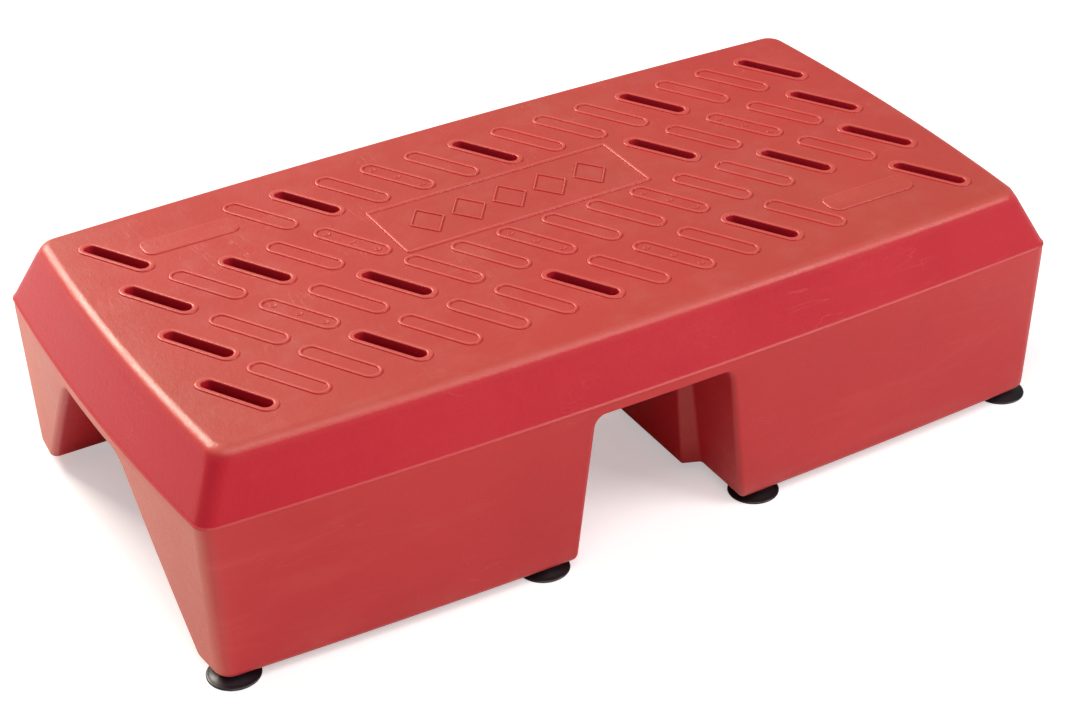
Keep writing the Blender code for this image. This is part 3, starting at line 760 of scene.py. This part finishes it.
# A rib along any closed outline of plan points: at each corner the profile turns onto the mitre
def carryRib(surface, outline, width, points=9):
    r, z, rub = ribProfile(width, ringHeight, points)
    outline = np.asarray(outline, float)
    ahead = np.roll(outline, -1, 0) - outline
    ahead /= np.linalg.norm(ahead, axis=1, keepdims=True)
    behind = np.roll(ahead, 1, 0)
    sideAhead = np.stack([ahead[:, 1], -ahead[:, 0]], -1)
    sideBehind = np.stack([behind[:, 1], -behind[:, 0]], -1)
    mitre = sideAhead + sideBehind
    mitre /= (mitre * sideAhead).sum(1)[:, None]
    plan = outline[:, None, :] + mitre[:, None, :] * r[None, :, None]
    sheet = np.concatenate([plan, np.broadcast_to(z + block["deck"], plan.shape[:2])[..., None]], -1)
    surface.add(sheet, gridFaces(len(outline), len(r), wrapRows=True, wrapColumns=True),
                np.tile(rub, len(outline)))


# A closed outline with each corner rounded by an arc
def roundTips(tips, radius, steps):
    arcs = roundCorner(np.roll(tips, 1, 0), tips, np.roll(tips, -1, 0), np.full(len(tips), radius), steps)
    return arcs.reshape(-1, 2)


# A plan box about a middle point, with round corners
def roundBox(cx, cy, halfX, halfY, radius, steps=4):
    corners = np.array([(halfX, halfY), (halfX, -halfY), (-halfX, -halfY), (-halfX, halfY)]) + [cx, cy]
    return roundTips(corners, radius, steps)


# The plate fills six columns of the second row, less a margin, and carries a row of outlined lozenges
plate = dict(
    halfX=(6 * tread["pitchX"] - 0.0190) / 2,
    halfY=(tread["pitchY"] - 0.0001) / 2,
    y=tread["pitchY"] / 2 - 0.0020,
    frame=0.0030,
    corner=0.0018,
    motifs=5,
    motifHalf=0.0190,
    motifWidth=0.0016,
    motifRound=0.0009,
    motifReach=0.42,
)
plateSurface = Surface()
frameOutline = roundBox(0, plate["y"], plate["halfX"] - plate["frame"] / 2,
                        plate["halfY"] - plate["frame"] / 2, plate["corner"])
carryRib(plateSurface, frameOutline, plate["frame"])
motifPitch = 2 * plate["halfX"] / (plate["motifs"] + 1)
for index in range(plate["motifs"]):
    cx = (index - (plate["motifs"] - 1) / 2) * motifPitch
    halfX = motifPitch * plate["motifReach"] - plate["motifWidth"] / 2
    halfY = plate["motifHalf"] - plate["motifWidth"] * 0.6
    tips = np.array([(halfX, 0), (0, -halfY), (-halfX, 0), (0, halfY)]) + [cx, plate["y"]]
    carryRib(plateSurface, roundTips(tips, plate["motifRound"], 3), plate["motifWidth"], 7)
plateFrame = plateSurface.piece("plateFrame", deckRed, 60.0)

# Blank label pads: a flat table with a rounded shoulder, level with the tops of the rings
padSurface = Surface()
pad = dict(halfX=tread["pitchX"] / 2 + 0.0175, halfY=0.0105, radius=0.0070)
padIn = np.array([-0.0003, -0.0002, 0.0000, 0.0003, 0.0008, 0.0014])
padZ = np.array([-0.0006, 0.0001, 0.0005, 0.0008, 0.00097, 0.0010])
padRub = np.array([0, 0.1, 0.6, 1.0, 0.8, 0.2])
for sideSign in (-1, 1):
    cx = sideSign * 6 * tread["pitchX"]
    cy = -sideSign * 1.5 * tread["pitchY"]
    loops = np.stack([roundBox(cx, cy, pad["halfX"] - inset, pad["halfY"] - inset, pad["radius"] - inset, 8)
                      for inset in padIn])
    around = loops.shape[1]
    sheet = lift(loops, padZ + block["deck"])
    padSurface.add(sheet, gridFaces(len(padIn), around, wrapColumns=True), np.repeat(padRub, around))
    padSurface.add(sheet[-1], [list(range(around))])
    padSurface.add(sheet[0], [list(range(around))])
labelPads = padSurface.piece("labelPads", deckRed, 60.0)
print("upper moulding made")

# Lower moulding: two hollow legs under a band. At each height a leg's outline is a chain of corners
leg = dict(
    tunnelTop=0.0528,
    tunnelBottom=0.0664,
    panelStep=0.0135,
    panelSideGap=0.0620,
    panelSlope=0.0055,
    tunnelEdge=0.0045,
    panelEdge=0.0035,
    ceilingRadius=0.0100,
    bottomRadius=0.0060,
    archTop=0.0440,
    wedge=0.0365,
    archDepth=0.1750,
    archSlope=0.0120,
    archMouth=0.0060,
    archInner=0.0160,
)


# Half width less the bow times the square of the share of the half length
def bowed(t, halfLength, halfWidth, bow):
    return halfWidth - bow * (t / halfLength) ** 2


# Corner groups of the +Y half of the +X leg; openInset moves the tunnel and arch walls into the leg
def legGroups(z, inset, openInset):
    down = np.clip((block["ceiling"] - z) / block["leg"], 0, 1)
    halfX = block["rimX"] - block["draft"] * down - inset
    halfY = block["rimY"] - block["draft"] * down - inset
    tunnel = mix(leg["tunnelTop"], leg["tunnelBottom"], down) + openInset
    panel = tunnel - mix(leg["panelStep"] / 2, leg["panelStep"], down)
    panelSide = block["rimY"] - leg["panelSideGap"] - openInset
    archBottom = block["rimY"] - block["sideBow"] - leg["wedge"]
    archHalf = mix(leg["archTop"], archBottom, down) + openInset
    archEnd = block["rimX"] - leg["archDepth"] + leg["archSlope"] * (1 - down) - openInset
    cx = halfX - block["endBow"]
    cy = bowed(cx, halfX, halfY, block["sideBow"])
    cx = bowed(cy, halfY, halfX, block["endBow"])
    eased = np.maximum(openInset, 0)
    zero = np.zeros_like(z)

    def small(radius, less):
        return np.maximum(leastRadius, radius - less)

    chain = [
        (panel, zero, None, 0),
        (panel, panelSide, small(leg["panelEdge"], eased), 6),
        (tunnel, panelSide + leg["panelSlope"], zero + leg["panelEdge"], 6),
        (tunnel, bowed(tunnel, halfX, halfY, block["sideBow"]), small(leg["tunnelEdge"], eased), 7),
    ]
    for share in (0.12, 0.25, 0.38, 0.51, 0.64, 0.77, 0.90):
        x = mix(tunnel, cx, share)
        chain.append((x, bowed(x, halfX, halfY, block["sideBow"]), None, 0))
    chain.append((cx, cy, small(block["corner"], inset), 12))
    archX = bowed(archHalf, halfY, halfX, block["endBow"])
    chain.append((archX, archHalf, small(leg["archMouth"], eased), 8))
    chain.append((archEnd, archHalf, zero + leg["archInner"], 12))
    chain.append((archEnd, zero, None, 0))
    spots = [np.stack([np.broadcast_to(link[0], z.shape), np.broadcast_to(link[1], z.shape)], -1)
             for link in chain]
    groups = []
    for index, (*_, radius, steps) in enumerate(chain):
        if radius is None:
            groups.append(spots[index][:, None])
        else:
            groups.append(roundCorner(spots[index - 1], spots[index], spots[index + 1], radius, steps))
    return groups


legSurface = Surface()
seamZ = block["seam"] - gap / 2


# One skin of the lower moulding, depth in from the outside, from the band down over both legs
def lowerSkin(depth, straightLevels):
    bend = np.linspace(0, math.pi / 2, 9)
    reach = leg["ceilingRadius"] + depth
    upperZ = block["ceiling"] - leg["ceilingRadius"] + reach * np.cos(bend)
    upperOpen = reach * np.sin(bend) - leg["ceilingRadius"]
    turn = np.linspace(0, math.pi / 2, 8)
    low = leg["bottomRadius"] - depth
    lowerZ = block["legBottom"] + leg["bottomRadius"] - low * np.sin(turn)
    lowerIn = leg["bottomRadius"] - low * np.cos(turn)
    straight = np.linspace(0, 1, straightLevels + 2)[1:-1]
    z = np.concatenate([upperZ, mix(upperZ[-1], lowerZ[0], straight), lowerZ])
    inset = np.concatenate([np.full(len(bend), depth), np.full(straightLevels, depth), lowerIn])
    openInset = np.concatenate([upperOpen, np.full(straightLevels, depth), lowerIn])
    groups = legGroups(z, inset, openInset)
    halfLoop = np.concatenate(groups, 1)
    loops = np.concatenate([halfLoop, (halfLoop[:, ::-1] * [1, -1])[:, 1:-1]], 1)
    count = loops.shape[1]
    rub = np.zeros((len(z), count))
    rub[-6:] += np.linspace(0.2, 0.8, 6)[:, None]
    for sign in (1, -1):
        sheet = lift(loops * [sign, 1], z)
        legSurface.add(sheet, gridFaces(len(z), count, wrapColumns=True, flip=sign < 0), rub)
        legSurface.add(sheet[-1], [list(range(count))])
    (panelMiddle, panelCorner, panelFoot, tunnelMouth, *sideAndCorner,
     archMouth, archCorner, archMiddle) = [group[0] for group in groups]
    quarter = np.concatenate([tunnelMouth[-1:], *sideAndCorner, archMouth[:1]])
    halfX = block["rimX"] - depth
    halfY = block["rimY"] - depth
    share = np.array([0.66, 0.33, 0.0, -0.33, -0.66])
    spanX = quarter[0, 0] * share
    sideSpan = np.stack([spanX, bowed(spanX, halfX, halfY, block["sideBow"])], -1)
    spanY = quarter[-1, 1] * share
    endSpan = np.stack([bowed(spanY, halfY, halfX, block["endBow"]), spanY], -1)
    down = quarter[::-1] * [1, -1]
    loop = np.concatenate([
        quarter, endSpan, down, sideSpan * [1, -1],
        quarter * [-1, -1], endSpan[::-1] * [-1, 1], quarter[::-1] * [-1, 1], sideSpan * [-1, 1]])
    band = lift(np.stack([loop, loop]), [seamZ, z[0]])
    legSurface.add(band, gridFaces(2, len(loop), wrapColumns=True))
    inner = np.concatenate([panelMiddle, panelCorner, panelFoot, tunnelMouth])
    tunnelSide = np.concatenate([inner[::-1], (inner * [1, -1])[1:]])
    ceiling = np.concatenate([
        tunnelSide, sideSpan * [1, -1], (tunnelSide * [-1, 1])[::-1], sideSpan * [-1, 1]])
    flat = np.concatenate([ceiling, np.full((len(ceiling), 1), z[0])], 1)
    legSurface.add(flat, [list(range(len(flat)))])
    scoop = np.concatenate([archMouth, archCorner, archMiddle])
    arch = np.concatenate([scoop, (scoop[::-1] * [1, -1])[1:], endSpan[::-1]])
    for sign in (1, -1):
        flat = np.concatenate([arch * [sign, 1], np.full((len(arch), 1), z[0])], 1)
        legSurface.add(flat, [list(range(len(flat)))])
    return loop


outerBand = lowerSkin(0.0, 12)
innerBand = lowerSkin(block["wall"], 2)
count = len(outerBand)
rim = lift(np.stack([outerBand, innerBand]), [seamZ, seamZ])
legSurface.add(rim, gridFaces(2, count, wrapColumns=True))
# the lip that nests inside the skirt, its foot sunk into the band
lipOut = lipWall + gap + 0.0001
lipHeights = np.array([-0.0020, 0.0003, lipHeight - 0.0004, lipHeight, lipHeight, -0.0020])
lipInsets = np.array([lipOut, lipOut, lipOut, lipOut + 0.0004, block["wall"], block["wall"]])
lip = lift(skirtLoop(np.maximum(lipHeights, 0), lipInsets), block["seam"] + lipHeights)
legInside = Surface()
legInside.add(lip, gridFaces(len(lip), lip.shape[1], wrapRows=True, wrapColumns=True))

foot = dict(
    bore=0.0045,
    boss=0.0082,
    bossHeight=0.0165,
    bossStart=0.0015,
    bossRound=0.0008,
    boreHeight=0.0123,
    openHeight=0.0060,
    openBelow=0.003,
)
footPlaces = {}
for name in footNames:
    low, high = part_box("suction_cup_" + name)
    footPlaces[name] = ((low.x + high.x) / 2, (low.y + high.y) / 2)
base = block["legBottom"]
bossProfile = [(0.0, base + foot["boreHeight"]), (foot["bore"], base + foot["boreHeight"]),
               (foot["bore"], base + foot["bossStart"]), (foot["boss"], base + foot["bossStart"]),
               (foot["boss"], base + foot["bossHeight"] - foot["bossRound"]),
               (foot["boss"] - foot["bossRound"], base + foot["bossHeight"]),
               (0.0, base + foot["bossHeight"])]
footSteps = 32
for place in footPlaces.values():
    sheet = turnProfile(bossProfile, place, footSteps)
    legInside.add(sheet, gridFaces(len(sheet), footSteps, wrapColumns=True))
legMould = legSurface.piece("legMould", legRed)
boreSurface = Surface()
boreProfile = [(0.0, base - foot["openBelow"]), (foot["bore"], base - foot["openBelow"]),
               (foot["bore"], base + foot["openHeight"]), (0.0, base + foot["openHeight"])]
for place in footPlaces.values():
    sheet = turnProfile(boreProfile, place, footSteps)
    boreSurface.add(sheet, gridFaces(len(sheet), footSteps, wrapColumns=True))
cutWith(legMould, boreSurface.piece("boreCutter", None))
addInto(legMould, legInside.piece("legInside", legRed))
print("lower moulding made")

# Suction cups: neck, flared skirt, thin rolled lip, a shallow hollow below and a pocket for the stud's head
neckTop = base - gap
headTop = neckTop - 0.0011
headFloor = headTop - 0.0012 - 2 * gap
cupSteps = 72
cupProfile = [
    (0.0, headFloor), (0.0051, headFloor), (0.0051, headTop), (0.0028, headTop),  # pocket for the head
    (0.0028, neckTop), (0.0071, neckTop), (0.0074, neckTop - 0.0003), (0.0075, 0.0056),  # neck
    (0.0078, 0.0051), (0.0086, 0.0045), (0.0102, 0.0038), (0.0124, 0.0030),  # skirt, going outwards
    (0.0146, 0.0022), (0.0162, 0.0017), (0.0170, 0.0016), (0.0177, 0.0015),
    (0.0182, 0.0012), (0.0184, 0.0008), (0.0184, 0.0005), (0.0182, 0.0002),  # rolled lip
    (0.0178, 0.0), (0.0168, 0.0), (0.0164, 0.0001), (0.0150, 0.0006),  # hollow, going inwards
    (0.0125, 0.0012), (0.0085, 0.0018), (0.0040, 0.0021), (0.0, 0.0022),
]
for name, place in footPlaces.items():
    cupSurface = Surface()
    sheet = turnProfile(cupProfile, place, cupSteps)
    cupSurface.add(sheet, gridFaces(len(sheet), cupSteps, wrapColumns=True))
    cup = cupSurface.piece("suctionCup_" + name, cupRubber, 50.0)
    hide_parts("suction_cup_" + name)
    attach(cup, "root")
print("cups made")

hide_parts("deck_shell")
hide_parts("leg_shell")
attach(legMould, "root")
for item in (deckMould, slotCollars, treadRings, plateFrame, labelPads):
    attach(item, "root")

# Floor: a pale sheet with a faint cloud, running back to a pale horizon
floorMaterial = bpy.data.materials.new("paleFloor")
floorMaterial.use_nodes = True
floorTree = floorMaterial.node_tree
floorShader = floorTree.nodes["Principled BSDF"]
floorPlace = addNode(floorTree, "ShaderNodeTexCoord").outputs["Object"]
floorTone = remap(floorTree, noise(floorTree, floorPlace, 1.2, 3.0), 0.3, 0.7)
floorTree.links.new(blendColour(floorTree, floorTone, (0.80, 0.80, 0.80), (0.84, 0.84, 0.84)),
                    floorShader.inputs["Base Color"])
floorShader.inputs["Roughness"].default_value = 0.85
# to the eye the floor glows a little, so that its shadows stay faint
floorEye = addNode(floorTree, "ShaderNodeLightPath").outputs["Is Camera Ray"]
floorTree.links.new(remap(floorTree, floorEye, 0.0, 1.0, 0.0, 0.42, smooth=False),
                    floorShader.inputs["Emission Strength"])
floorShader.inputs["Emission Color"].default_value = (1.0, 1.0, 1.0, 1.0)
# seen from below the floor is clear, so that the underside shows
floorClear = addNode(floorTree, "ShaderNodeBsdfTransparent")
floorBack = addNode(floorTree, "ShaderNodeNewGeometry").outputs["Backfacing"]
floorMix = addNode(floorTree, "ShaderNodeMixShader", {0: floorBack, 1: floorShader.outputs[0],
                                                      2: floorClear.outputs[0]})
floorTree.links.new(floorMix.outputs[0], floorTree.nodes["Material Output"].inputs["Surface"])
floorMesh = bpy.data.meshes.new("floor")
reach = 9.0
floorMesh.from_pydata([(-reach, -reach, 0), (reach, -reach, 0), (reach, reach, 0), (-reach, reach, 0)],
                      [], [(0, 1, 2, 3)])
floorMesh.materials.append(floorMaterial)
floor = bpy.data.objects.new("floor", floorMesh)
bpy.context.scene.collection.objects.link(floor)

# Soft studio light: position, aim, size and power of each panel
world = bpy.data.worlds.new("studio")
bpy.context.scene.world = world
world.use_nodes = True
# the backdrop is pale to the eye and dim as a light
sky = world.node_tree.nodes["Background"]
sky.inputs["Color"].default_value = (0.98, 0.97, 0.97, 1.0)
seen = addNode(world.node_tree, "ShaderNodeLightPath").outputs["Is Camera Ray"]
world.node_tree.links.new(remap(world.node_tree, seen, 0.0, 1.0, 0.20, 0.92, smooth=False),
                          sky.inputs["Strength"])
lamps = dict(
    backLeft=dict(place=(-0.9, 2.3, 1.9), aim=(-0.5, 0.2, 0.0), size=(1.5, 0.9), power=118.0,
                  colour=(1.0, 0.92, 0.83)),
    overhead=dict(place=(-0.2, -1.1, 2.4), aim=(0.0, 0.0, 0.0), size=(2.0, 1.0), power=28.0,
                  colour=(1.0, 0.97, 0.94)),
    front=dict(place=(1.9, -2.3, 2.1), aim=(0.0, 0.0, 0.1), size=(1.6, 1.4), power=58.0,
               colour=(1.0, 0.96, 0.97)),
)


# A panel that faces its aim, its long side level
def addLamp(name, place, aim, size, power, colour):
    data = bpy.data.lights.new(name, "AREA")
    data.shape = "RECTANGLE"
    data.size, data.size_y = size
    data.energy = power
    data.color = colour
    lamp = bpy.data.objects.new(name, data)
    bpy.context.scene.collection.objects.link(lamp)
    away = np.array(place) - np.array(aim)
    across = np.cross((0.0, 0.0, 1.0), away)
    across /= np.linalg.norm(across)
    away /= np.linalg.norm(away)
    turn = np.eye(4)
    turn[:3, 0], turn[:3, 1], turn[:3, 2], turn[:3, 3] = across, np.cross(away, across), away, place
    lamp.matrix_world = Matrix(turn.tolist())


for name, lamp in lamps.items():
    addLamp(name, **lamp)

# Camera: where it stands, which way it looks back from, as azimuth and elevation, and its tilt
view = dict(
    place=(-0.7592, -1.3576, 1.0499),
    azimuth=math.radians(-119.341),
    elevation=math.radians(32.605),
    tilt=math.radians(-1.427),
    lens=83.9,
)


def viewMatrix(place, azimuth, elevation, tilt):
    back = np.array([math.cos(elevation) * math.cos(azimuth), math.cos(elevation) * math.sin(azimuth),
                     math.sin(elevation)])
    level = np.array([-math.sin(azimuth), math.cos(azimuth), 0.0])
    upright = np.cross(back, level)
    right = level * math.cos(tilt) + upright * math.sin(tilt)
    turn = np.eye(4)
    turn[:3, 0], turn[:3, 1], turn[:3, 2], turn[:3, 3] = right, np.cross(back, right), back, place
    return Matrix(turn.tolist())


cameraData = bpy.data.cameras.new("camera")
cameraData.sensor_width = 36.0
cameraData.lens = view["lens"]
cameraData.clip_start = 0.05
cameraData.clip_end = 60.0
camera = bpy.data.objects.new("camera", cameraData)
bpy.context.scene.collection.objects.link(camera)
camera.matrix_world = viewMatrix(view["place"], view["azimuth"], view["elevation"], view["tilt"])
bpy.context.scene.camera = camera
bpy.context.scene.view_settings.view_transform = "Standard"
print("stage, light and camera made")

bpy.context.view_layer.update()
